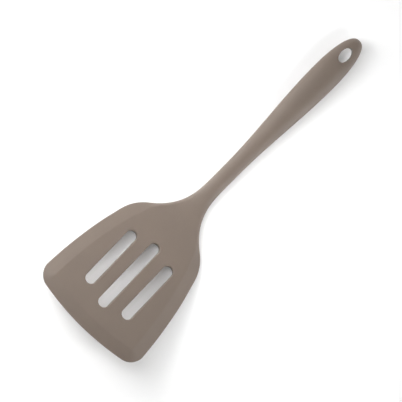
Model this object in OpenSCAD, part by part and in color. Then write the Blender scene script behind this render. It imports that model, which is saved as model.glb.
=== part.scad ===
// Slotted silicone turner for the grill plate or pan. A silicone jacket in two halves is moulded
// over a steel plate that runs through the blade and, as a tang, through the handle, where two
// nylon scales are riveted to it. It is drawn as it lies on a table, on its heel and grip, with the
// leading edge of the blade raised. Lengths run along the bent middle line, from the butt of the
// handle to the leading edge, and all sizes are in millimetres.

/* [Handle] */
// Length from the butt to the widest part of the grip
butt_length = 43; // [36:1:52]
// Length over which the grip narrows to the neck
grip_taper = 107; // [90:1:130]
// Length of the slim straight neck
neck_length = 15; // [6:1:24]
// Width of the grip
grip_width = 24.6; // [22:0.2:30]
// Thickness of the grip
grip_thick = 14; // [12:0.5:17]
// Thickness of the handle near its butt
butt_thick = 10; // [9:0.5:13]
// Length over which the butt rounds off in the side view
butt_round = 12; // [9:1:16]
// Width of the neck
neck_width = 14.2; // [13:0.1:17]
// Thickness of the neck
neck_thick = 7.2; // [6.8:0.2:9]

/* [Heel] */
// Length from the neck to the start of the heel bend
heel_run = 46; // [42:1:52]
// Length of the bend at the heel
bend_length = 30; // [24:1:40]
// Rise of the blade above the table in degrees
blade_tilt = 13; // [8:0.5:18]
// Thickness at the start of the heel bend
heel_thick = 5.6; // [5:0.2:6.6]
// Depth of the hollow under the middle of the heel, so that it stands on both its sides
heel_hollow = 0.2; // [0.1:0.05:0.4]
// Length over which the oval handle section turns into the flat blade section
flatten_run = 36; // [28:1:44]

/* [Blade outline] */
// Length from the neck to the steepest part of the shoulder
flare_length = 53; // [46:1:60]
// Width at the steepest part of the shoulder
flare_width = 59; // [52:1:66]
// Rise of each side for each unit of length at the steepest part of the shoulder
flare_slope = 1.27; // [0.9:0.01:1.4]
// Length from the steepest part of the shoulder to its end
shoulder_length = 29; // [24:1:36]
// Width at the end of the shoulder
shoulder_width = 90.2; // [83:0.2:98]
// Rise of each side for each unit of length at the end of the shoulder
shoulder_slope = 0.26; // [0.2:0.01:0.34]
// Length from the end of the shoulder to the leading edge
side_length = 86; // [76:1:104]
// Widest part of the blade, at the front corners
blade_width = 109.8; // [100:0.2:124]
// Rise of each side for each unit of length at the front corner
side_slope = 0.05; // [0:0.01:0.08]
// Radius of the front corners
corner_radius = 11; // [10.5:0.5:15]
// Radius of the bowed leading edge
front_radius = 235; // [160:5:500]
// Length behind the corners over which the bow fades out
bow_run = 50; // [35:1:60]

/* [Blade section] */
// Thickness of the blade
blade_thick = 4.4; // [4:0.1:6]
// Thickness of the blade's edge, at the foot of the chamfer
edge_thick = 1.7; // [1.5:0.1:2.4]
// Width of the chamfer along the sides and the leading edge
bevel_width = 10.8; // [8:0.2:11.4]
// Length of the shoulder over which the chamfer grows to its full width
bevel_run = 26; // [18:1:32]
// Length of chamfer behind the steepest part of the shoulder
bevel_lead = 12; // [8:1:18]
// Height of the parting surface above the underside of the blade
parting_height = 1.1; // [0.9:0.1:1.4]
// Half height of the narrow flat where the two halves of the handle meet
parting_flat = 0.4; // [0.2:0.1:0.8]

/* [Slots] */
// Width of a slot
slot_width = 9.5; // [7:0.1:10]
// Distance between neighbouring slots
slot_pitch = 21; // [20:0.1:23]
// Length of the middle slot
middle_slot_length = 71.2; // [55:0.2:76]
// Distance from the leading edge to the middle slot
middle_slot_setback = 22.9; // [20:0.1:28]
// Length of each side slot
side_slot_length = 59; // [48:0.2:64]
// Distance from the leading edge to a side slot
side_slot_setback = 29.4; // [26:0.1:34]

/* [Hang hole] */
// Distance from the butt to the centre of the hang hole
hole_setback = 17.1; // [16:0.1:22]
// Length of the oval hang hole
hole_length = 14.4; // [11:0.2:17]
// Width of the hang hole
hole_width = 9; // [7:0.2:10]

/* [Steel plate] */
// Thickness of the steel plate and its tang
plate_thick = 0.5; // [0.4:0.1:0.8]
// Distance from the edge of the blade to the plate
plate_inset = 8; // [7:0.2:10]
// Radius of the plate's front corners
plate_corner = 6; // [4:0.5:10]
// Clearance round each slot where the silicone wraps the plate's edge
plate_slot_margin = 2.5; // [1.5:0.1:3]
// Diameter of the bonding holes
bond_hole = 3; // [2:0.2:3.6]
// Distance between bonding holes in a row
bond_pitch = 20; // [14:1:22]
// Number of bonding holes in a row
bond_count = 3; // [1:1:3]
// Distance from the leading edge to the first bonding hole of a row
bond_setback = 42; // [38:1:46]
// Distance from a side slot's opening in the plate to the outer row of bonding holes
bond_row_gap = 5.8; // [4:0.2:6.4]

/* [Handle scales] */
// Thickness of silicone over the scales
scale_cover = 2; // [1.6:0.1:2.2]
// Distance from the butt to the end of the scales
scale_setback = 3.5; // [3:0.1:5]
// Length of the scales past the neck, towards the blade
scale_reach = 13; // [8:1:20]
// Width of nylon that closes round the edge of the tang
tang_margin = 1; // [0.8:0.1:1.4]
// Silicone lining between the hang hole and the eye of the scales
eye_lining = 2; // [1.4:0.1:2.4]
// Diameter of the windows that lock the silicone to the scales
window_dia = 7; // [5:0.2:9]
// Distance between the windows
window_pitch = 15; // [12:0.5:18]
// Distance from the widest part of the grip to the first window
window_setback = 6; // [4:0.5:12]
// Number of windows
window_count = 3; // [1:1:3]

/* [Rivets] */
// Diameter of a rivet's shank
rivet_dia = 3; // [2.4:0.1:3.4]
// Clearance between the shank and its bore, on the diameter
rivet_clearance = 0.1; // [0:0.05:0.3]
// Diameter of a rivet's head
rivet_head_dia = 5; // [4.4:0.1:5.6]
// Thickness of a rivet's head
rivet_head_thick = 0.8; // [0.6:0.1:1.1]
// Height of a head above the scales
rivet_head_proud = 0.3; // [0.2:0.1:0.6]
// Distance from the end of the neck to the first rivet, towards the butt
rivet_setback = 17; // [8:1:24]
// Distance between the rivets
rivet_pitch = 22; // [16:1:24]
// Number of rivets
rivet_count = 3; // [2:1:3]

/* [Hidden] */
$fn = 64;

// Stations along the middle line
grip_at = butt_length;
neck_at = grip_at + grip_taper;
flare_at = neck_at + neck_length;
mid_shoulder_at = flare_at + flare_length;
shoulder_at = mid_shoulder_at + shoulder_length;
front_at = shoulder_at + side_length;
corner_at = front_at - corner_radius;
bend_at = flare_at + heel_run;
bend_end = bend_at + bend_length;
flatten_at = mid_shoulder_at - flatten_run;
bevel_at = mid_shoulder_at - bevel_lead;
scale_end = flare_at + scale_reach;
tang_at = hole_setback + hole_length / 2 + eye_lining + tang_margin;
plate_front_at = front_at - plate_inset;
plate_corner_at = plate_front_at - plate_corner;
rivet_stations = [for (i = [0 : rivet_count - 1]) flare_at - rivet_setback - i * rivet_pitch];
window_stations = [for (i = [0 : window_count - 1]) grip_at + window_setback + i * window_pitch];

// Bluntness of the butt in plan and in the side view
butt_power = 2.3;
butt_root = 2.45;
butt_side_power = 2.4;
butt_side_root = 2;
// Station that stands in for the butt itself, so that the end is a small flat
butt_flat = 0.2;
// Share of the half width, counted from the middle, that lies inside the chamfer's crease
crease_share = 5 / 7;
// Narrowest chamfer on the shoulder, and the least strip left outside the crease at a corner
least_bevel = 1.5;
least_strip = 0.5;
// Points across the width of the jacket and round the pair of scales
across = 15;
around = 16;
// Sections of the jacket along the butt, the grip, the neck, the shoulder and the sides
butt_steps = 10;
grip_steps = 9;
neck_steps = 1;
shoulder_steps = 18;
side_steps = 8;
// Sections round the front corners, in degrees of their arcs
corner_angles = [0, 20, 36, 50, 63, 75, 84, 90];
// Least distance between neighbouring sections of an insert
section_gap = 1;
// Points of the plate's outline along its leading edge, and degrees between those round its corners
plate_front_steps = 12;
plate_corner_step = 15;
// Places along the handle where it may touch the table
touch_steps = 60;
// Facets of a full turn of the heel bend, where its radius is large
bend_facets = 480;
// Corners of the oval that the hang hole is cut to
hole_facets = 40;
// Overlap that welds the flat and the bent stretches of the plate
weld = 0.05;
// Height of the cutters for slots and holes, past both faces
cut_height = 4 * grip_thick;
// Reach of the flat sheet that the plate is cut from
sheet_width = 2 * blade_width;

function clamp01(t) = min(1, max(0, t));
function ease(t) = let (c = clamp01(t)) c * c * (3 - 2 * c);
function mix(a, b, t) = a + (b - a) * t;
function blunt(t, power, root) = pow(1 - pow(1 - clamp01(t), power), 1 / root);
function span(low, high, steps) = [for (i = [0 : steps - 1]) mix(low, high, i / steps)];

// Cubic between two points with a given slope at each
function cubic(x, x0, y0, slope0, x1, y1, slope1) =
    let (run = x1 - x0, t = (x - x0) / run, t2 = t * t, t3 = t2 * t)
    (2 * t3 - 3 * t2 + 1) * y0 + (t3 - 2 * t2 + t) * run * slope0
    + (3 * t2 - 2 * t3) * y1 + (t3 - t2) * run * slope1;

// Half width of the outline, before the front corners are rounded
function side_half(s) =
    s < grip_at ? grip_width / 2 * blunt(max(s, butt_flat) / butt_length, butt_power, butt_root)
    : s < neck_at ? mix(grip_width, neck_width, ease((s - grip_at) / grip_taper)) / 2
    : s < flare_at ? neck_width / 2
    : s < mid_shoulder_at
        ? cubic(s, flare_at, neck_width / 2, 0, mid_shoulder_at, flare_width / 2, flare_slope)
    : s < shoulder_at
        ? cubic(s, mid_shoulder_at, flare_width / 2, flare_slope,
                shoulder_at, shoulder_width / 2, shoulder_slope)
    : cubic(min(s, corner_at), shoulder_at, shoulder_width / 2, shoulder_slope,
            corner_at, blade_width / 2, side_slope);

// Half width left inside a corner arc that starts at a station
function arc_half(s, half, radius, start) =
    s <= start ? half : half - radius + sqrt(max(0, radius * radius - pow(s - start, 2)));
function edge_half(s) = arc_half(s, side_half(s), corner_radius, corner_at);

// The plate's margin to the outline, which grows from the tang's in the handle to the blade's
function plate_margin(s) =
    mix(scale_cover + tang_margin, plate_inset, ease((s - scale_end) / (bend_end - scale_end)));
function plate_half(s) =
    arc_half(s, side_half(s) - plate_margin(s), plate_corner, plate_corner_at);

// How far the bow of the leading edge draws a point back
function bow(s, y) =
    (front_radius - sqrt(front_radius * front_radius - y * y)) * ease((s - corner_at) / bow_run + 1);

// Half thickness of the handle, the same above and below the parting surface
function handle_half(s) =
    s < grip_at ? mix(butt_thick, grip_thick, ease(s / grip_at)) / 2
                  * blunt(max(s, butt_flat) / butt_round, butt_side_power, butt_side_root)
    : s < neck_at ? mix(grip_thick, neck_thick, ease((s - grip_at) / grip_taper)) / 2
    : mix(neck_thick, heel_thick, ease((s - flare_at) / heel_run)) / 2;

// Thickness above and below the parting surface on the middle line
function above(s) = mix(handle_half(s), blade_thick - parting_height, ease((s - bend_at) / bend_length));
function below(s) = mix(handle_half(s), parting_height, ease((s - bend_at) / bend_length));

// How far the section has turned from the handle's oval, 0, to the flat blade, 1
function flatness(s) = ease((s - flatten_at) / flatten_run);
function flat_below(s) = ease((s - flatten_at) / (bend_at - flatten_at));
function hollow(s) = heel_hollow * ease(1 - abs(s - bend_at) / bend_length);
function bevel(s) = max(least_bevel, bevel_width * ease((s - bevel_at) / bevel_run));
function oval(share) = sqrt(max(0, 1 - share * share));

// Distance across the width for a share of the half width, with a point on the chamfer's crease
function crease_half(s) = min(side_half(s) - bevel(s), edge_half(s) - least_strip);
function blade_across(s, share) =
    share <= crease_share ? crease_half(s) * share / crease_share
    : mix(crease_half(s), edge_half(s), (share - crease_share) / (1 - crease_share));
function across_at(s, share) =
    sign(share) * mix(edge_half(s) * sin(90 * abs(share)), blade_across(s, abs(share)), flatness(s));

// Distance from a point of the blade to its edge, round the corner arcs too
function edge_gap(s, y) =
    let (past = s - corner_at, out = abs(y) - (blade_width / 2 - corner_radius))
    past > 0 && out > 0 ? corner_radius - norm([past, out])
    : min(edge_half(s) - abs(y), front_at - s);

// Height of the upper face above the parting surface, and depth of the lower face below it
function upper_face(s, y) =
    let (
        share = y / edge_half(s),
        rim = edge_thick - parting_height,
        round_top = mix(parting_flat, above(s), oval(share)),
        blade_top = mix(rim, above(s), clamp01(edge_gap(s, y) / bevel(s)))
    )
    mix(round_top, blade_top, flatness(s));
function lower_face(s, y) =
    let (
        share = y / edge_half(s),
        round_bottom = mix(parting_flat, below(s), oval(share)),
        blade_bottom = below(s) - hollow(s) * (1 - share * share)
    )
    mix(round_bottom, blade_bottom, flat_below(s));

// The handle slopes so that its grip and its heel touch the table together
grip_stations = span(0, neck_at, touch_steps);
handle_pitch = atan(max([for (s = grip_stations) (handle_half(s) - heel_thick / 2) / (bend_at - s)]));
bend_angle = blade_tilt + handle_pitch;
bend_radius = bend_length * 180 / (PI * bend_angle);

// Slope of the middle line, and its place in the upright plane, counted from the bend
function path_turn(s) = mix(-handle_pitch, blade_tilt, clamp01((s - bend_at) / bend_length));
function path_place(s) =
    let (turn = path_turn(s), bent_run = [sin(turn) + sin(handle_pitch), cos(handle_pitch) - cos(turn)])
    bend_radius * bent_run
    + min(0, s - bend_at) * [cos(handle_pitch), -sin(handle_pitch)]
    + max(0, s - bend_end) * [cos(blade_tilt), sin(blade_tilt)];

// Point at a station, a distance across and a height above the parting surface
function bent_point(s, y, h) =
    let (turn = path_turn(s), place = path_place(s))
    [place[0] - h * sin(turn), y, place[1] + h * cos(turn)];

// Stations of the jacket's sections, close together where the shape turns
stations = concat(
    [for (t = span(0, 1, butt_steps)) grip_at * t * t],
    span(grip_at, neck_at, grip_steps),
    span(neck_at, flare_at, neck_steps),
    span(flare_at, shoulder_at, shoulder_steps),
    span(shoulder_at, corner_at, side_steps),
    [for (angle = corner_angles) corner_at + corner_radius * sin(angle)]
);
shares = [for (j = [0 : across - 1]) -1 + 2 * j / (across - 1)];
// Stations of the inserts, half way between those of the jacket
insert_stations = [for (i = [0 : len(stations) - 2]) (stations[i] + stations[i + 1]) / 2];

// The part rests on the table with its length centred
reach = [for (s = [0, front_at]) bent_point(s, 0, -below(s))[0]];
lowest = min([for (s = stations) bent_point(s, 0, -below(s))[2]]);
rest_shift = [-(reach[0] + reach[1]) / 2, 0, -lowest];
function resting(s, y, h) = bent_point(s - bow(s, y), y, h) + rest_shift;

// One edge of a section, and the closed section between an upper and a lower edge
function section_top(s) =
    [for (v = shares) let (y = across_at(s, v)) resting(s, y, upper_face(s, y))];
function section_parting(s) =
    [for (v = shares) resting(s, across_at(s, v), 0)];
function section_bottom(s) =
    [for (v = shares) let (y = across_at(s, v)) resting(s, y, -lower_face(s, y))];
function reversed(list) = [for (i = [len(list) - 1 : -1 : 0]) list[i]];
function section(upper, lower) = concat(upper, reversed(lower));

// Section of the pair of scales, an oval under the silicone cover
function scale_section(s) =
    let (half = side_half(s) - scale_cover, rise = handle_half(s) - scale_cover, step = 360 / around)
    [for (k = [0 : around - 1])
        let (angle = 180 - step * (k + 0.5)) resting(s, half * cos(angle), rise * sin(angle))];

// Solid through a row of closed sections, which run along the top and back along the bottom
module loft(sections) {
    count = len(sections[0]);
    last = (len(sections) - 1) * count;
    sides = [
        for (i = [0 : len(sections) - 2])
        for (k = [0 : count - 1])
        let (a = i * count + k, b = i * count + (k + 1) % count)
        each [[a, b, b + count], [a, b + count, a + count]]
    ];
    ends = [
        for (k = [0 : count / 2 - 2])
        let (a = k, b = k + 1, c = count - 2 - k, d = count - 1 - k)
        each [[a, c, b], [a, d, c], [last + a, last + b, last + c], [last + a, last + c, last + d]]
    ];
    polyhedron([for (ring = sections) each ring], concat(sides, ends), convexity = 8);
}

// Frames in which X is the station, Y runs across and Z stands on the parting surface
module in_handle() {
    translate(rest_shift) rotate([0, handle_pitch, 0]) translate([-bend_at, 0, 0]) children();
}
module in_blade() {
    place = path_place(bend_end);
    translate(rest_shift + [place[0], 0, place[1]])
        rotate([0, -blade_tilt, 0]) translate([-bend_end, 0, 0]) children();
}

// Upright cutter with round ends, along X from its first end
module slot_cutter(length, width) {
    run = length - width;
    translate([width / 2, 0, -cut_height / 2]) {
        cylinder(d = width, h = cut_height);
        translate([run, 0, 0]) cylinder(d = width, h = cut_height);
        translate([0, -width / 2, 0]) cube([run, width, cut_height]);
    }
}

// The three slots, wider and longer by a margin all round
module blade_slots(margin = 0) {
    for (i = [-1, 0, 1]) {
        setback = i == 0 ? middle_slot_setback : side_slot_setback;
        length = i == 0 ? middle_slot_length : side_slot_length;
        in_blade() translate([front_at - setback - length - margin, i * slot_pitch, 0])
            slot_cutter(length + 2 * margin, slot_width + 2 * margin);
    }
}

// The hang hole, larger by a margin all round
module hang_hole(margin = 0) {
    half = [hole_length, hole_width] / 2 + [margin, margin];
    step = 360 / hole_facets;
    rim = [for (k = [0 : hole_facets - 1])
        let (angle = step * (k + 0.5)) [half[0] * cos(angle), half[1] * sin(angle)]];
    in_handle() translate([hole_setback, 0, -cut_height / 2])
        linear_extrude(height = cut_height) polygon(rim);
}

// Endless flat sheet with the heel bend, as thick as the plate
module bent_sheet() {
    slab = [0, -sheet_width / 2, -plate_thick / 2];
    in_handle() translate([tang_at, 0, 0] + slab)
        cube([bend_at - tang_at + weld, sheet_width, plate_thick]);
    in_blade() translate([bend_end - weld, 0, 0] + slab)
        cube([front_at - bend_end + weld, sheet_width, plate_thick]);
    translate(rest_shift + bend_radius * [sin(handle_pitch), 0, cos(handle_pitch)])
        rotate([90, 0, 0]) rotate([0, 0, -90 - handle_pitch])
        rotate_extrude(angle = bend_angle, $fn = bend_facets)
        translate([bend_radius - plate_thick / 2, -sheet_width / 2])
        square([plate_thick, sheet_width]);
}

// Outline of the plate seen from above
module plate_outline() {
    side_stations = concat(
        [tang_at],
        [for (s = insert_stations) if (s > tang_at + section_gap && s < plate_corner_at) s],
        [for (angle = [0 : plate_corner_step : 90]) plate_corner_at + plate_corner * sin(angle)]
    );
    side = [for (s = side_stations) resting(s, plate_half(s), 0)];
    front_half = plate_half(plate_front_at);
    front = [for (t = span(1, -1, plate_front_steps)) if (t < 1) resting(plate_front_at, front_half * t, 0)];
    points = concat(side, front, [for (p = reversed(side)) [p[0], -p[1], p[2]]]);
    polygon([for (p = points) [p[0], p[1]]]);
}

// Inner rows between the slots, and outer rows no nearer to the plate's edge than to the slots
module bond_holes() {
    slot_side = slot_pitch + slot_width / 2 + plate_slot_margin;
    for (i = [0 : bond_count - 1], side = [-1, 1]) {
        at = front_at - bond_setback - i * bond_pitch;
        outer_row = min(slot_side + bond_row_gap, (slot_side + plate_half(at)) / 2);
        for (row = [slot_pitch / 2, outer_row])
            in_blade() translate([at, side * row, -cut_height / 2])
                cylinder(d = bond_hole, h = cut_height);
    }
}

module rivet_bores() {
    for (s = rivet_stations)
        in_handle() translate([s, 0, -cut_height / 2])
            cylinder(d = rivet_dia + rivet_clearance, h = cut_height);
}

// Upper and lower head of each rivet, let into the scales and a little proud of them
function rivet_top(s) = handle_half(s) - scale_cover + rivet_head_proud;
module rivet_heads() {
    for (s = rivet_stations)
        in_handle() translate([s, 0, 0])
            for (base = [rivet_top(s) - rivet_head_thick, -rivet_top(s)])
                translate([0, 0, base]) cylinder(d = rivet_head_dia, h = rivet_head_thick);
}

// Windows through the handle, wider by a margin all round
module handle_windows(margin = 0) {
    for (s = window_stations)
        in_handle() translate([s, 0, -cut_height / 2])
            cylinder(d = window_dia + 2 * margin, h = cut_height);
}

// Both scales as one blank: the shape that the silicone is moulded on
module scale_blank() {
    scale_stations = concat(
        [scale_setback],
        [for (s = insert_stations) if (s > scale_setback + section_gap && s < scale_end - section_gap) s],
        [scale_end]
    );
    difference() {
        loft([for (s = scale_stations) scale_section(s)]);
        hang_hole(eye_lining);
        handle_windows();
    }
}

module steel_plate() {
    difference() {
        intersection() {
            bent_sheet();
            linear_extrude(height = cut_height) plate_outline();
        }
        blade_slots(plate_slot_margin);
        bond_holes();
        handle_windows(tang_margin);
        rivet_bores();
    }
}

// One scale: the blank above or below the parting surface, with a recess for the tang
module handle_scale(base) {
    difference() {
        intersection() {
            scale_blank();
            in_handle() translate([0, -grip_width, base])
                cube([bend_at, 2 * grip_width, grip_thick]);
        }
        steel_plate();
        rivet_bores();
        rivet_heads();
    }
}

// What is cut out of both halves of the jacket
module jacket_cuts() {
    blade_slots();
    hang_hole();
    scale_blank();
    rivet_heads();
    steel_plate();
}

module upper_skin() {
    color("#8c7f74") difference() {
        loft([for (s = stations) section(section_top(s), section_parting(s))]);
        jacket_cuts();
    }
}

module lower_skin() {
    color("#8c7f74") difference() {
        loft([for (s = stations) section(section_parting(s), section_bottom(s))]);
        jacket_cuts();
    }
}

module blade_plate() {
    color("silver") steel_plate();
}

module upper_scale() {
    color("dimgray") handle_scale(0);
}

module lower_scale() {
    color("dimgray") handle_scale(-grip_thick);
}

module tang_rivets() {
    color("lightgray") {
        rivet_heads();
        for (s = rivet_stations) {
            shank_end = rivet_top(s) - rivet_head_thick / 2;
            in_handle() translate([s, 0, -shank_end]) cylinder(d = rivet_dia, h = 2 * shank_end);
        }
    }
}

upper_skin();
lower_skin();
blade_plate();
upper_scale();
lower_scale();
tang_rivets();
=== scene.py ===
"""Slotted silicone turner on a white table, seen from above.

The moulded jacket is worked out here as one smooth closed surface that stands for both of its halves, and
the steel plate, nylon scales and rivets inside it keep their own solids. Lengths run along the bent middle
line, from the butt of the handle to the leading edge of the blade. Sizes are in millimetres, and points
become metres when a mesh is made.
"""

import math

import bmesh
import bpy
import numpy as np
from mathutils import Matrix, Vector


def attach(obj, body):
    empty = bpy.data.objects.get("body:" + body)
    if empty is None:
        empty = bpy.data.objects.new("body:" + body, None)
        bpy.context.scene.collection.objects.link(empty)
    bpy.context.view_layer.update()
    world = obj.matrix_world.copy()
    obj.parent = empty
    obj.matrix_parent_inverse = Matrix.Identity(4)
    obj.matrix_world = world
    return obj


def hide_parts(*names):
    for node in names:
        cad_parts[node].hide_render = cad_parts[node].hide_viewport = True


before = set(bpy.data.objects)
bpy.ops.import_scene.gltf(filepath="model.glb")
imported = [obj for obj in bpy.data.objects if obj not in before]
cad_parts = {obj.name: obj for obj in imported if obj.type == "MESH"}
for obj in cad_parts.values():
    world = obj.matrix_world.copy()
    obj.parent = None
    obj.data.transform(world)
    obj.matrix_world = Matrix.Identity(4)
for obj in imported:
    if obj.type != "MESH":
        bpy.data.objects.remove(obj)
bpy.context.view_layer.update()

MM = 0.001

# Handle
BUTT_LENGTH = 43.0
GRIP_TAPER = 107.0
NECK_LENGTH = 15.0
GRIP_WIDTH = 24.6
GRIP_THICK = 14.0
BUTT_THICK = 10.0
BUTT_ROUND = 12.0
NECK_WIDTH = 14.2
NECK_THICK = 7.2
BUTT_POWER = 2.3
BUTT_ROOT = 2.45
BUTT_SIDE_POWER = 2.4
BUTT_SIDE_ROOT = 2.0

# Heel
HEEL_RUN = 46.0
BEND_LENGTH = 30.0
BLADE_TILT = math.radians(13)
HEEL_THICK = 5.6
HEEL_HOLLOW = 0.2
FLATTEN_RUN = 36.0

# Blade outline
FLARE_LENGTH = 53.0
FLARE_WIDTH = 59.0
FLARE_SLOPE = 1.27
SHOULDER_LENGTH = 29.0
SHOULDER_WIDTH = 90.2
SHOULDER_SLOPE = 0.26
SIDE_LENGTH = 86.0
BLADE_WIDTH = 109.8
SIDE_SLOPE = 0.05
CORNER_RADIUS = 11.0
FRONT_RADIUS = 235.0
BOW_RUN = 50.0

# Blade section
BLADE_THICK = 4.4
EDGE_THICK = 1.7
BEVEL_WIDTH = 10.8
BEVEL_RUN = 26.0
BEVEL_LEAD = 12.0
LEAST_BEVEL = 1.5
PARTING_HEIGHT = 1.1

# Openings
SLOT_WIDTH = 9.5
SLOT_PITCH = 21.0
MIDDLE_SLOT_LENGTH = 71.2
MIDDLE_SLOT_SETBACK = 22.9
SIDE_SLOT_LENGTH = 59.0
SIDE_SLOT_SETBACK = 29.4
HOLE_SETBACK = 17.1
HOLE_LENGTH = 14.4
HOLE_WIDTH = 9.0

# Softened edges, which the solids leave sharp
CREASE_SOFT = 0.8
EDGE_ROUND = 0.5
UNDER_EDGE = 0.3
MOUTH_ROUND = 1.0
UNDER_MOUTH_ROUND = 0.5
PARTING_BAND = 0.12
PARTING_RIDGE = 0.05
BUTT_FLAT = 0.02

# How finely measures of the whole shape are worked out
UNBOW_STEPS = 6
GRIP_SAMPLES = 400
LENGTH_SAMPLES = 2000
TINY = 1e-9

# Stations along the middle line
GRIP_AT = BUTT_LENGTH
NECK_AT = GRIP_AT + GRIP_TAPER
FLARE_AT = NECK_AT + NECK_LENGTH
MID_SHOULDER_AT = FLARE_AT + FLARE_LENGTH
SHOULDER_AT = MID_SHOULDER_AT + SHOULDER_LENGTH
FRONT_AT = SHOULDER_AT + SIDE_LENGTH
CORNER_AT = FRONT_AT - CORNER_RADIUS
BEND_AT = FLARE_AT + HEEL_RUN
BEND_END = BEND_AT + BEND_LENGTH
FLATTEN_AT = MID_SHOULDER_AT - FLATTEN_RUN
BEVEL_AT = MID_SHOULDER_AT - BEVEL_LEAD
FRONT_CREASE_AT = FRONT_AT - BEVEL_WIDTH


def ease(t):
    """Smooth step from 0 to 1: three t squared less two t cubed, held at its ends."""
    c = np.clip(t, 0, 1)
    return c * c * (3 - 2 * c)


def mix(a, b, t):
    """Straight blend from a to b."""
    return a + (b - a) * t


def blunt(t, power, root):
    """Blunt nose from 0 to 1: root of one less a power of the distance still to go."""
    return (1 - (1 - np.clip(t, 0, 1)) ** power) ** (1 / root)


def oval(share):
    """Height of a unit circle over a share of its radius."""
    return np.sqrt(np.clip(1 - share * share, 0, 1))


def cubic(x, x0, y0, slope0, x1, y1, slope1):
    """Hermite cubic between two points with a given slope at each."""
    run = x1 - x0
    t = (x - x0) / run
    t2 = t * t
    t3 = t2 * t
    start = (2 * t3 - 3 * t2 + 1) * y0 + (t3 - 2 * t2 + t) * run * slope0
    end = (3 * t2 - 2 * t3) * y1 + (t3 - t2) * run * slope1
    return start + end


def side_half(s):
    """Half width: blunt butt, eased grip, straight neck, then three cubics over shoulder and sides."""
    butt = GRIP_WIDTH / 2 * blunt(np.maximum(s, BUTT_FLAT) / BUTT_LENGTH, BUTT_POWER, BUTT_ROOT)
    grip = mix(GRIP_WIDTH, NECK_WIDTH, ease((s - GRIP_AT) / GRIP_TAPER)) / 2
    flare = cubic(s, FLARE_AT, NECK_WIDTH / 2, 0, MID_SHOULDER_AT, FLARE_WIDTH / 2, FLARE_SLOPE)
    shoulder = cubic(s, MID_SHOULDER_AT, FLARE_WIDTH / 2, FLARE_SLOPE,
                     SHOULDER_AT, SHOULDER_WIDTH / 2, SHOULDER_SLOPE)
    side = cubic(np.minimum(s, CORNER_AT), SHOULDER_AT, SHOULDER_WIDTH / 2, SHOULDER_SLOPE,
                 CORNER_AT, BLADE_WIDTH / 2, SIDE_SLOPE)
    zones = [s < GRIP_AT, s < FLARE_AT, s < MID_SHOULDER_AT, s < SHOULDER_AT]
    return np.select(zones, [butt, grip, flare, shoulder], side) - PARTING_RIDGE


def edge_half(s):
    """Half width with the front corners rounded by arcs."""
    past = np.clip(s - CORNER_AT, 0, CORNER_RADIUS)
    return side_half(s) - CORNER_RADIUS + np.sqrt(CORNER_RADIUS ** 2 - past ** 2)


def bow(s, y):
    """How far the bow of the leading edge draws a point back: an arc's fall, faded in along the sides."""
    fall = FRONT_RADIUS - np.sqrt(FRONT_RADIUS ** 2 - y * y)
    return fall * ease((s - CORNER_AT) / BOW_RUN + 1)


def unbowed(plan, y):
    """Station whose bowed place is plan, by repeated substitution."""
    s = plan
    for _ in range(UNBOW_STEPS):
        s = plan + bow(s, y)
    return s


def handle_half(s):
    """Half thickness of the handle: rounded butt, swelling grip, then a taper to the heel."""
    butt = mix(BUTT_THICK, GRIP_THICK, ease(s / GRIP_AT)) / 2
    butt = butt * blunt(np.maximum(s, BUTT_FLAT) / BUTT_ROUND, BUTT_SIDE_POWER, BUTT_SIDE_ROOT)
    grip = mix(GRIP_THICK, NECK_THICK, ease((s - GRIP_AT) / GRIP_TAPER)) / 2
    heel = mix(NECK_THICK, HEEL_THICK, ease((s - FLARE_AT) / HEEL_RUN)) / 2
    return np.select([s < GRIP_AT, s < NECK_AT], [butt, grip], heel)


def above(s):
    """Thickness over the parting surface on the middle line."""
    return mix(handle_half(s), BLADE_THICK - PARTING_HEIGHT, ease((s - BEND_AT) / BEND_LENGTH))


def below(s):
    """Thickness under the parting surface on the middle line."""
    return mix(handle_half(s), PARTING_HEIGHT, ease((s - BEND_AT) / BEND_LENGTH))


def flatness(s):
    """From the handle's oval section, 0, to the blade's flat one, 1."""
    return ease((s - FLATTEN_AT) / FLATTEN_RUN)


def flat_below(s):
    """The same for the underside, which is flat from the heel on."""
    return ease((s - FLATTEN_AT) / (BEND_AT - FLATTEN_AT))


def hollow(s):
    """Depth of the hollow under the middle of the heel."""
    return HEEL_HOLLOW * ease(1 - np.abs(s - BEND_AT) / BEND_LENGTH)


def bevel(s):
    """Width of the chamfer, which fades out along the shoulder."""
    return np.maximum(LEAST_BEVEL, BEVEL_WIDTH * ease((s - BEVEL_AT) / BEVEL_RUN))


def edge_gap(s, y):
    """Distance to the outline: radial round the corner arcs, else to the nearer of side and front."""
    past = s - CORNER_AT
    out = np.abs(y) - (edge_half(CORNER_AT) - CORNER_RADIUS)
    plain = np.minimum(edge_half(s) - np.abs(y), FRONT_AT - s)
    round_corner = CORNER_RADIUS - np.hypot(past, out)
    return np.clip(np.where((past > 0) & (out > 0), round_corner, plain), 0, None)


def soft_ramp(gap, width):
    """Rises with gap and stops at width, with the bend between rounded by a parabola."""
    low = width - CREASE_SOFT
    over = np.clip(gap - low, 0, 2 * CREASE_SOFT)
    return np.minimum(gap, low) + over - over * over / (4 * CREASE_SOFT)


def roll_off(gap, radius):
    """How far a face has fallen at a distance from a rounded edge: a quarter circle."""
    short = np.clip(radius - gap, 0, radius)
    return radius - np.sqrt(radius * radius - short * short)


def upper_face(s, y):
    """Height over the parting surface: an oval on the handle that turns into a flat with a chamfer."""
    gap = edge_gap(s, y)
    round_top = mix(PARTING_BAND, above(s), oval(y / edge_half(s)))
    climb = soft_ramp(gap, bevel(s)) / bevel(s)
    blade_top = mix(EDGE_THICK - PARTING_HEIGHT, above(s), climb) - roll_off(gap, EDGE_ROUND)
    return mix(round_top, blade_top, flatness(s))


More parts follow.
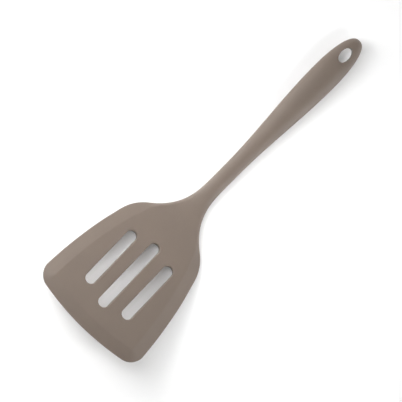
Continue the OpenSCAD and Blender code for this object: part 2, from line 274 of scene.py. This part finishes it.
def lower_face(s, y):
    """Depth under the parting surface: an oval on the handle that turns into a flat with a round edge."""
    depth = below(s)
    share = y / edge_half(s)
    round_bottom = mix(PARTING_BAND, depth, oval(share))
    flat_bottom = depth - hollow(s) * (1 - share * share) - roll_off(edge_gap(s, y), depth - UNDER_EDGE)
    return mix(round_bottom, flat_bottom, flat_below(s))


# The handle slopes so that its grip and its heel touch the table together
grip_run = np.linspace(0, NECK_AT, GRIP_SAMPLES, endpoint=False)
HANDLE_PITCH = math.atan(np.max((handle_half(grip_run) - HEEL_THICK / 2) / (BEND_AT - grip_run)))
BEND_RADIUS = BEND_LENGTH / (BLADE_TILT + HANDLE_PITCH)


def bent_point(s, y, h):
    """Point at a station, a distance across and a height, square to the middle line.

    The middle line is straight down the handle, an arc through the heel and straight up the blade."""
    turn = mix(-HANDLE_PITCH, BLADE_TILT, np.clip((s - BEND_AT) / BEND_LENGTH, 0, 1))
    before = np.minimum(0, s - BEND_AT)
    after = np.maximum(0, s - BEND_END)
    x = BEND_RADIUS * (np.sin(turn) + math.sin(HANDLE_PITCH))
    x = x + before * math.cos(HANDLE_PITCH) + after * math.cos(BLADE_TILT)
    z = BEND_RADIUS * (math.cos(HANDLE_PITCH) - np.cos(turn))
    z = z - before * math.sin(HANDLE_PITCH) + after * math.sin(BLADE_TILT)
    return np.stack([x - h * np.sin(turn), y + 0 * x, z + h * np.cos(turn)], axis=-1)


def rest_shift():
    """Centres the length between the lower corners of both ends and sets the lowest point on the table."""
    ends = bent_point(np.array([0, FRONT_AT]), np.zeros(2), -below(np.array([0, FRONT_AT])))
    run = np.linspace(0, FRONT_AT, LENGTH_SAMPLES)
    lowest = bent_point(run, 0 * run, -below(run))[:, 2].min()
    return np.array([-ends[:, 0].mean(), 0, -lowest])


REST_SHIFT = rest_shift()


def place(plan, y, h):
    """Point in the part's own frame, in metres."""
    return (bent_point(plan, y, h) + REST_SHIFT) * MM


# The jacket's grid: the bounds of the block round the slots and the cells of each stretch
BLOCK_BACK = 233.0
BLOCK_FRONT = 313.0
BLOCK_SIDE = 28.6
BUTT_CELLS = 46
GRIP_CELLS = 54
NECK_CELLS = 6
SHOULDER_CELLS = 60
BLOCK_CELLS = 80
FRONT_CELLS = 8
CREASE_CELLS = 4
CHAMFER_CELLS = 14
ROUND_CELLS = 5
MIDDLE_CELLS = 10
SIDE_BLOCK_CELLS = 18
STRIP_CELLS = 8
SIDE_CHAMFER_CELLS = 7

# The openings: the bounds of the block round the hang hole, the rings about a mouth and the rows of a wall
HOLE_BACK = 6.0
HOLE_FRONT = 28.6
HOLE_SHARE = 0.72
MOUTH_RINGS = 7
FIELD_RINGS = 8
FIELD_CROWDING = 1.3
WALL_ROWS = 5

# Least gap between grid lines near the edge, the distance in metres at which grids are joined, and the name
# of the mark of painted shade on the walls of the openings
LINE_TAIL = 0.06
WELD = 2e-7
PAINTED_SHADE_ATTRIBUTE = "painted_shade_wall"


def quarter(cells):
    """Shares of a radius, from its full length to 0, in equal steps of a quarter circle."""
    return 1 - np.sin(np.linspace(0, math.pi / 2, cells + 1))


def joined(*runs):
    """One run of values out of several that start where the last one ended."""
    return np.concatenate([runs[0]] + [run[1:] for run in runs[1:]])


def jacket_stations():
    """Stations of the grid's rows, close together where the shape turns."""
    butt = GRIP_AT * np.linspace(0, 1, BUTT_CELLS + 1) ** 2
    crease_back = FRONT_CREASE_AT - CREASE_SOFT
    crease_front = FRONT_CREASE_AT + CREASE_SOFT
    round_at = FRONT_AT - EDGE_ROUND
    chamfer = mix(crease_front, round_at, np.sin(np.linspace(0, math.pi / 2, CHAMFER_CELLS + 1)))
    return joined(
        butt,
        np.linspace(GRIP_AT, NECK_AT, GRIP_CELLS + 1),
        np.linspace(NECK_AT, FLARE_AT, NECK_CELLS + 1),
        np.linspace(FLARE_AT, BLOCK_BACK, SHOULDER_CELLS + 1),
        np.linspace(BLOCK_BACK, BLOCK_FRONT, BLOCK_CELLS + 1),
        np.linspace(BLOCK_FRONT, crease_back, FRONT_CELLS + 1),
        np.linspace(crease_back, crease_front, CREASE_CELLS + 1),
        chamfer,
        FRONT_AT - EDGE_ROUND * quarter(ROUND_CELLS),
    )


def jacket_lines(s):
    """Distance across of every grid line at every station, as rows of stations.

    On the handle a line keeps its share of the half width, spaced as the sine of equal steps. On the blade
    it keeps its place between the slots, or between the slots, the chamfer's crease and the edge."""
    half_middle = SLOT_PITCH / 2
    station = s[:, None]
    edge = edge_half(station)
    crease = side_half(station) - bevel(station)
    field_end = crease - CREASE_SOFT
    block_end = field_end[np.searchsorted(s, BLOCK_BACK), 0]
    inner = joined(
        np.linspace(0, half_middle, MIDDLE_CELLS + 1),
        np.linspace(half_middle, BLOCK_SIDE, SIDE_BLOCK_CELLS + 1),
    )
    inner = inner * np.minimum(1, field_end / block_end)
    strip = mix(inner[:, -1:], field_end, np.linspace(0, 1, STRIP_CELLS + 1)[1:])
    fold = crease + CREASE_SOFT * np.linspace(-1, 1, CREASE_CELLS + 1)[1:]
    chamfer = mix(crease + CREASE_SOFT, edge - EDGE_ROUND, np.linspace(0, 1, SIDE_CHAMFER_CELLS + 1)[1:])
    rounding = edge - EDGE_ROUND * quarter(ROUND_CELLS)[1:]
    blade = np.concatenate([inner, strip, fold, chamfer, rounding], axis=1)
    last = blade.shape[1] - 1
    blade = np.minimum(blade, edge - LINE_TAIL * (last - np.arange(last + 1)))
    blade[:, last] = edge[:, 0]
    handle = edge * np.sin(np.linspace(0, math.pi / 2, last + 1))
    half = mix(handle, blade, flatness(station))
    return np.concatenate([-half[:, :0:-1], half], axis=1)


def grid_quads(rows, columns, closed=False):
    """Corner numbers of every cell of a grid, row by row.

    A closed grid also joins its last column to its first."""
    row = np.arange(rows - 1)[:, None]
    column = np.arange(columns if closed else columns - 1)[None, :]
    beside = (column + 1) % columns
    corners = [row * columns + column, row * columns + beside,
               (row + 1) * columns + beside, (row + 1) * columns + column]
    return np.stack(corners, axis=-1)


def border(array, rows, columns):
    """Values round the border of a block of a grid, once round, with no corner taken twice."""
    block = array[rows[0]:rows[1] + 1, columns[0]:columns[1] + 1]
    return np.concatenate([block[:-1, 0], block[-1, :-1], block[:0:-1, -1], block[0, :0:-1]])


def slot_edge(plan, y, start, end, centre):
    """Nearest point on the edge of a round-ended slot and the way out from it.

    The way out runs from the nearest point of the slot's middle line, and the edge is half a width on."""
    radius = SLOT_WIDTH / 2
    axis = np.clip(plan, start + radius, end - radius)
    out = np.stack([plan - axis, y - centre])
    out = out / np.hypot(out[0], out[1])
    return np.stack([axis, centre + 0 * y]) + radius * out, out


def hole_edge(plan, y):
    """Point on the edge of the oval hole in a point's own direction, and the edge's normal there.

    Both come from the angle of an ellipse, with cosine and sine times its half length and half width."""
    length = HOLE_LENGTH / 2
    width = HOLE_WIDTH / 2
    angle = np.arctan2(y / width, (plan - HOLE_SETBACK) / length)
    edge = np.stack([HOLE_SETBACK + length * np.cos(angle), width * np.sin(angle)])
    out = np.stack([np.cos(angle) / length, np.sin(angle) / width])
    return edge, out / np.hypot(out[0], out[1])


def opening_rings(plan, y, edge, out):
    """Rings of points from an opening's edge out to the border of its block of the grid.

    The first rings step off the edge along its normal, as a quarter circle does, and the rest run straight
    to the border. Returns the points and each one's distance from the edge."""
    near = MOUTH_ROUND * quarter(MOUTH_RINGS)[::-1, None]
    far = np.linspace(0, 1, FIELD_RINGS + 1)[1:, None] ** FIELD_CROWDING
    lip = edge + MOUTH_ROUND * out
    reach = MOUTH_ROUND + np.hypot(plan - lip[0], y - lip[1])
    ring_plan = np.concatenate([edge[0] + near * out[0], mix(lip[0], plan, far)])
    ring_y = np.concatenate([edge[1] + near * out[1], mix(lip[1], y, far)])
    distance = np.concatenate([near + 0 * y, mix(MOUTH_ROUND, reach, far)])
    return ring_plan, ring_y, distance


class Surface:
    """Gathers grids of points into one closed mesh."""

    def __init__(self):
        self.points = []
        self.quads = []
        self.wall = []
        self.count = 0

    def add(self, points, quads, painted_shade_rows=slice(0)):
        """Adds a grid of points, the cells kept of it and which of its rows lie on an opening's wall and
        get painted shade.
        """
        painted_shade_marks = np.zeros(points.shape[:2])
        painted_shade_marks[painted_shade_rows] = 1
        self.wall.append(painted_shade_marks.ravel())
        self.points.append(points.reshape(-1, 3))
        self.quads.append(quads.reshape(-1, 4) + self.count)
        self.count += points.shape[0] * points.shape[1]

    def build(self, name):
        """Makes the mesh, welds where grids meet and turns every face outwards."""
        points = np.concatenate(self.points)
        quads = np.concatenate(self.quads)
        used, numbers = np.unique(quads, return_inverse=True)
        mesh = bpy.data.meshes.new(name)
        mesh.from_pydata(points[used].tolist(), [], numbers.reshape(-1, 4).tolist())
        # Each point's mark of painted shade: 1 on the walls of the openings, 0 elsewhere
        wall = mesh.attributes.new(PAINTED_SHADE_ATTRIBUTE, "FLOAT", "POINT")
        wall.data.foreach_set("value", np.concatenate(self.wall)[used])
        shape = bmesh.new()
        shape.from_mesh(mesh)
        bmesh.ops.remove_doubles(shape, verts=shape.verts, dist=WELD)
        bmesh.ops.recalc_face_normals(shape, faces=shape.faces)
        shape.to_mesh(mesh)
        shape.free()
        mesh.polygons.foreach_set("use_smooth", np.ones(len(mesh.polygons), dtype=bool))
        thing = bpy.data.objects.new(name, mesh)
        bpy.context.scene.collection.objects.link(thing)
        return thing


def outline_wall(plan, y, top, bottom):
    """The narrow wall round the outline, from the upper face to the lower, with the mould's parting ridge.

    The ridge stands out along the outline's own normal, most at mid height and not at all at both faces."""
    ahead = np.stack([np.roll(plan, -1) - np.roll(plan, 1), np.roll(y, -1) - np.roll(y, 1)])
    ahead = ahead / np.maximum(np.hypot(ahead[0], ahead[1]), TINY)
    turn = np.sum(plan * np.roll(y, -1) - y * np.roll(plan, -1))
    out = np.stack([ahead[1], -ahead[0]]) * np.sign(turn)
    down = np.linspace(0, 1, WALL_ROWS)[:, None]
    ridge = PARTING_RIDGE * (1 - np.abs(2 * down - 1))
    return place(plan + ridge * out[0], y + ridge * out[1], mix(top, bottom, down))


def silicone_jacket():
    """The whole jacket: an upper and a lower face on one grid, the outline's wall and the openings."""
    s = jacket_stations()
    across = jacket_lines(s)
    station = s[:, None] + 0 * across
    plan = station - bow(station, across)
    top = upper_face(station, across)
    bottom = -lower_face(station, across)
    rows, columns = across.shape
    middle = columns // 2
    quads = grid_quads(rows, columns)
    keep = np.ones(quads.shape[:2], dtype=bool)
    surface = Surface()

    block_rows = (np.searchsorted(s, BLOCK_BACK), np.searchsorted(s, BLOCK_FRONT))
    hole_rows = (np.searchsorted(s, HOLE_BACK), np.searchsorted(s, HOLE_FRONT))
    hole_reach = np.searchsorted(across[0, middle:] / across[0, -1], HOLE_SHARE)
    side_end = MIDDLE_CELLS + SIDE_BLOCK_CELLS
    middle_front = FRONT_AT - MIDDLE_SLOT_SETBACK
    side_front = FRONT_AT - SIDE_SLOT_SETBACK
    middle_run = (middle_front - MIDDLE_SLOT_LENGTH, middle_front)
    side_run = (side_front - SIDE_SLOT_LENGTH, side_front)
    openings = [
        (block_rows, (middle - MIDDLE_CELLS, middle + MIDDLE_CELLS), (*middle_run, 0)),
        (block_rows, (middle + MIDDLE_CELLS, middle + side_end), (*side_run, SLOT_PITCH)),
        (block_rows, (middle - side_end, middle - MIDDLE_CELLS), (*side_run, -SLOT_PITCH)),
        (hole_rows, (middle - hole_reach, middle + hole_reach), None),
    ]
    for block, lines, slot in openings:
        keep[block[0]:block[1], lines[0]:lines[1]] = False
        rim = (border(plan, block, lines), border(across, block, lines))
        edge, out = slot_edge(*rim, *slot) if slot else hole_edge(*rim)
        ring_plan, ring_y, distance = opening_rings(*rim, edge, out)
        ring_s = unbowed(ring_plan, ring_y)
        ring_top = upper_face(ring_s, ring_y) - roll_off(distance, MOUTH_ROUND)
        ring_bottom = -lower_face(ring_s, ring_y) + roll_off(distance, UNDER_MOUTH_ROUND)
        ring_quads = grid_quads(*ring_plan.shape, closed=True)
        # The edge row of each mouth and the whole wall of each opening are marked for painted shade
        surface.add(place(ring_plan, ring_y, ring_top), ring_quads, slice(1))
        surface.add(place(ring_plan, ring_y, ring_bottom), ring_quads, slice(1))
        down = np.linspace(0, 1, WALL_ROWS)[:, None]
        wall = place(ring_plan[0] + 0 * down, ring_y[0] + 0 * down, mix(ring_top[0], ring_bottom[0], down))
        surface.add(wall, grid_quads(WALL_ROWS, wall.shape[1], closed=True), slice(None))

    surface.add(place(plan, across, top), quads[keep])
    surface.add(place(plan, across, bottom), quads[keep])
    whole = ((0, rows - 1), (0, columns - 1))
    wall = outline_wall(*(border(array, *whole) for array in (plan, across, top, bottom)))
    surface.add(wall, grid_quads(WALL_ROWS, wall.shape[1], closed=True))
    return surface.build("silicone_jacket")


# Finishes: the middle of a noise, and pairs of colours for its two ends
NOISE_MIDDLE = (0.3, 0.7)
TAUPE = ((0.130, 0.1015, 0.082), (0.139, 0.1087, 0.0875))
# Painted shade: a darker taupe for the walls of the slots and the hang hole, standing in for the shade
# inside them
PAINTED_SHADE_TAUPE = ((0.091, 0.071, 0.0574), (0.0973, 0.0761, 0.0613))
STEEL_GREY = ((0.50, 0.50, 0.51), (0.68, 0.68, 0.69))
NYLON_BLACK = ((0.035, 0.035, 0.038), (0.085, 0.085, 0.09))
TABLE_WHITE = ((0.90, 0.90, 0.90), (0.91, 0.91, 0.91))


def new_material(name):
    """A new node material, with its nodes, its links and its shader."""
    material = bpy.data.materials.new(name)
    material.use_nodes = True
    tree = material.node_tree
    return material, tree.nodes, tree.links, tree.nodes["Principled BSDF"]


def noise(nodes, links, scale, detail, stretch=(1, 1, 1)):
    """Noise on the piece's own coordinates, in cells a metre, stretched along its axes."""
    coordinates = nodes.new("ShaderNodeTexCoord")
    mapping = nodes.new("ShaderNodeMapping")
    mapping.inputs["Scale"].default_value = stretch
    links.new(coordinates.outputs["Object"], mapping.inputs["Vector"])
    texture = nodes.new("ShaderNodeTexNoise")
    texture.inputs["Scale"].default_value = scale
    texture.inputs["Detail"].default_value = detail
    links.new(mapping.outputs["Vector"], texture.inputs["Vector"])
    return texture.outputs["Fac"]


def ramp(nodes, links, value, colours):
    """Colour ramp between a pair of colours over the middle of a noise."""
    band = nodes.new("ShaderNodeValToRGB")
    for element, position, colour in zip(band.color_ramp.elements, NOISE_MIDDLE, colours):
        element.position = position
        element.color = (*colour, 1)
    links.new(value, band.inputs["Fac"])
    return band.outputs["Color"]


def between(nodes, links, value, low, high):
    """The middle of a noise as a plain value between two limits."""
    limits = nodes.new("ShaderNodeMapRange")
    limits.inputs["From Min"].default_value = NOISE_MIDDLE[0]
    limits.inputs["From Max"].default_value = NOISE_MIDDLE[1]
    limits.inputs["To Min"].default_value = low
    limits.inputs["To Max"].default_value = high
    links.new(value, limits.inputs["Value"])
    return limits.outputs["Result"]


def grain(nodes, links, shader, height, depth, strength):
    """Fine bump on a shader, with its depth in metres."""
    bump = nodes.new("ShaderNodeBump")
    bump.inputs["Strength"].default_value = strength
    bump.inputs["Distance"].default_value = depth
    links.new(height, bump.inputs["Height"])
    links.new(bump.outputs["Normal"], shader.inputs["Normal"])


def silicone():
    """Matte taupe silicone: slow shifts of tone, a fine grain, a soft sheen and painted shade on the
    opening walls.
    """
    material, nodes, links, shader = new_material("silicone")
    tone = noise(nodes, links, scale=45, detail=4)
    wall = nodes.new("ShaderNodeAttribute")
    wall.attribute_name = PAINTED_SHADE_ATTRIBUTE
    # Painted shade: the taupe turns to the darker one where the walls of the openings are marked
    taupe = nodes.new("ShaderNodeMix")
    taupe.data_type = "RGBA"
    links.new(wall.outputs["Fac"], taupe.inputs["Factor"])
    links.new(ramp(nodes, links, tone, TAUPE), taupe.inputs["A"])
    links.new(ramp(nodes, links, tone, PAINTED_SHADE_TAUPE), taupe.inputs["B"])
    links.new(taupe.outputs["Result"], shader.inputs["Base Color"])
    sheen = noise(nodes, links, scale=160, detail=3)
    links.new(between(nodes, links, sheen, low=0.46, high=0.56), shader.inputs["Roughness"])
    pores = noise(nodes, links, scale=2600, detail=3)
    grain(nodes, links, shader, pores, depth=0.00004, strength=0.25)
    shader.inputs["IOR"].default_value = 1.41
    shader.inputs["Specular IOR Level"].default_value = 0.55
    return material


def brushed_steel(name, stretch):
    """Stainless steel with fine lines along one axis."""
    material, nodes, links, shader = new_material(name)
    lines = noise(nodes, links, scale=900, detail=5, stretch=stretch)
    links.new(ramp(nodes, links, lines, STEEL_GREY), shader.inputs["Base Color"])
    links.new(between(nodes, links, lines, low=0.24, high=0.42), shader.inputs["Roughness"])
    grain(nodes, links, shader, lines, depth=0.00002, strength=0.3)
    shader.inputs["Metallic"].default_value = 1.0
    return material


def filled_nylon():
    """Black glass-filled nylon with pale fibre flecks and a coarse moulded grain."""
    material, nodes, links, shader = new_material("filled_nylon")
    flecks = noise(nodes, links, scale=1400, detail=6, stretch=(0.3, 1, 1))
    links.new(ramp(nodes, links, flecks, NYLON_BLACK), shader.inputs["Base Color"])
    sheen = noise(nodes, links, scale=300, detail=3)
    links.new(between(nodes, links, sheen, low=0.5, high=0.7), shader.inputs["Roughness"])
    texture = noise(nodes, links, scale=1800, detail=3)
    grain(nodes, links, shader, texture, depth=0.00005, strength=0.4)
    return material


def table_white():
    """Plain white table with the faintest unevenness."""
    material, nodes, links, shader = new_material("table_white")
    tone = noise(nodes, links, scale=6, detail=2)
    links.new(ramp(nodes, links, tone, TABLE_WHITE), shader.inputs["Base Color"])
    shader.inputs["Roughness"].default_value = 0.9
    shader.inputs["Specular IOR Level"].default_value = 0.1
    return material


def dress(node, material):
    """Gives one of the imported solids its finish."""
    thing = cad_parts[node]
    thing.data.materials.clear()
    thing.data.materials.append(material)


# The table reaches this far from its middle on every side, in metres
TABLE_REACH = 40.0


def make_table():
    """Wide flat table under the part."""
    mesh = bpy.data.meshes.new("table")
    corners = [(x * TABLE_REACH, y * TABLE_REACH, 0) for x, y in ((-1, -1), (1, -1), (1, 1), (-1, 1))]
    mesh.from_pydata(corners, [], [(0, 1, 2, 3)])
    table = bpy.data.objects.new("table", mesh)
    bpy.context.scene.collection.objects.link(table)
    mesh.materials.append(table_white())


# The view, in metres: its side where it meets the table, the point at its middle, how far its right turns
# from the part's length and the directions that follow. Then the camera's distance, its lean to the view's
# left and how far it sees
VIEW_SIDE = 0.33258
VIEW_CENTRE = Vector((0.02129, 0.00036, 0))
VIEW_TURN = math.radians(134.75)
VIEW_RIGHT = Vector((math.cos(VIEW_TURN), math.sin(VIEW_TURN), 0))
VIEW_UP = Vector((-math.sin(VIEW_TURN), math.cos(VIEW_TURN), 0))
CAMERA_DISTANCE = 3.0
CAMERA_LEAN = math.radians(5.634)
FAR_CLIP = 100.0


def make_camera():
    """Camera that looks down from a little to the view's left."""
    data = bpy.data.cameras.new("overhead")
    data.lens = data.sensor_width * CAMERA_DISTANCE / VIEW_SIDE
    data.clip_end = FAR_CLIP
    camera = bpy.data.objects.new("overhead", data)
    bpy.context.scene.collection.objects.link(camera)
    back = Vector((0, 0, math.cos(CAMERA_LEAN))) - VIEW_RIGHT * math.sin(CAMERA_LEAN)
    right = VIEW_UP.cross(back)
    turn = Matrix((right, VIEW_UP, back)).transposed().to_4x4()
    camera.matrix_world = Matrix.Translation(VIEW_CENTRE + CAMERA_DISTANCE * back) @ turn
    bpy.context.scene.camera = camera


# Lights are aimed this high over the table. The glow all round is strongest level with the table, and fades
# to nothing where the upright part of its direction reaches GLOW_TOP
AIM_HEIGHT = 0.01
GLOW_STRENGTH = 3.98
GLOW_TOP = 0.6


def soft_box(name, turn, rise, distance, size, spread, aim, power):
    """Square softbox aimed at a place along the part, by its turn from the view's right and its rise.

    Angles are in degrees, the turn runs round the upright axis, and lengths are in metres."""
    data = bpy.data.lights.new(name, "AREA")
    data.size = size
    data.spread = math.radians(spread)
    data.energy = power
    light = bpy.data.objects.new(name, data)
    bpy.context.scene.collection.objects.link(light)
    flat = VIEW_RIGHT * math.cos(math.radians(turn)) + VIEW_UP * math.sin(math.radians(turn))
    away = flat * math.cos(math.radians(rise)) + Vector((0, 0, math.sin(math.radians(rise))))
    target = Vector((aim, 0, AIM_HEIGHT))
    spot = target + distance * away
    light.matrix_world = Matrix.Translation(spot) @ away.to_track_quat("Z", "Y").to_matrix().to_4x4()
    light.visible_camera = False


def make_light():
    """Four keys over the view's left, two narrow fills opposite, a weak back light and a glow all round."""
    soft_box("low_key", turn=140, rise=35, distance=0.36, size=0.25, spread=180, aim=0.04, power=1.1)
    soft_box("steep_key", turn=135, rise=75, distance=0.7, size=0.4, spread=180, aim=0.07, power=1.32)
    soft_box("side_key", turn=150, rise=45, distance=0.7, size=0.4, spread=180, aim=0.07, power=1.03)
    soft_box("neck_key", turn=135, rise=35, distance=0.85, size=0.1, spread=14, aim=0.005, power=0.012)
    soft_box("handle_fill", turn=315, rise=35, distance=0.85, size=0.3, spread=20, aim=-0.015, power=0.115)
    soft_box("blade_fill", turn=345, rise=35, distance=0.85, size=0.4, spread=20, aim=0.12, power=0.1)
    soft_box("back", turn=45, rise=40, distance=0.7, size=0.4, spread=180, aim=0.05, power=0.32)
    world = bpy.data.worlds.new("studio")
    world.use_nodes = True
    nodes = world.node_tree.nodes
    links = world.node_tree.links
    direction = nodes.new("ShaderNodeTexCoord")
    height = nodes.new("ShaderNodeSeparateXYZ")
    glow = nodes.new("ShaderNodeMapRange")
    glow.inputs["From Max"].default_value = GLOW_TOP
    glow.inputs["To Min"].default_value = GLOW_STRENGTH
    glow.inputs["To Max"].default_value = 0.0
    links.new(direction.outputs["Generated"], height.inputs["Vector"])
    links.new(height.outputs["Z"], glow.inputs["Value"])
    links.new(glow.outputs["Result"], nodes["Background"].inputs["Strength"])
    nodes["Background"].inputs["Color"].default_value = (1, 1, 1, 1)
    bpy.context.scene.world = world


jacket = silicone_jacket()
jacket.data.materials.append(silicone())
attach(jacket, "root")
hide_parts("upper_skin", "lower_skin")

dress("blade_plate", brushed_steel("plate_steel", stretch=(0.04, 1, 1)))
dress("tang_rivets", brushed_steel("rivet_steel", stretch=(1, 1, 0.2)))
dress("upper_scale", filled_nylon())
dress("lower_scale", filled_nylon())

make_table()
make_light()
make_camera()
bpy.context.scene.view_settings.view_transform = "Standard"
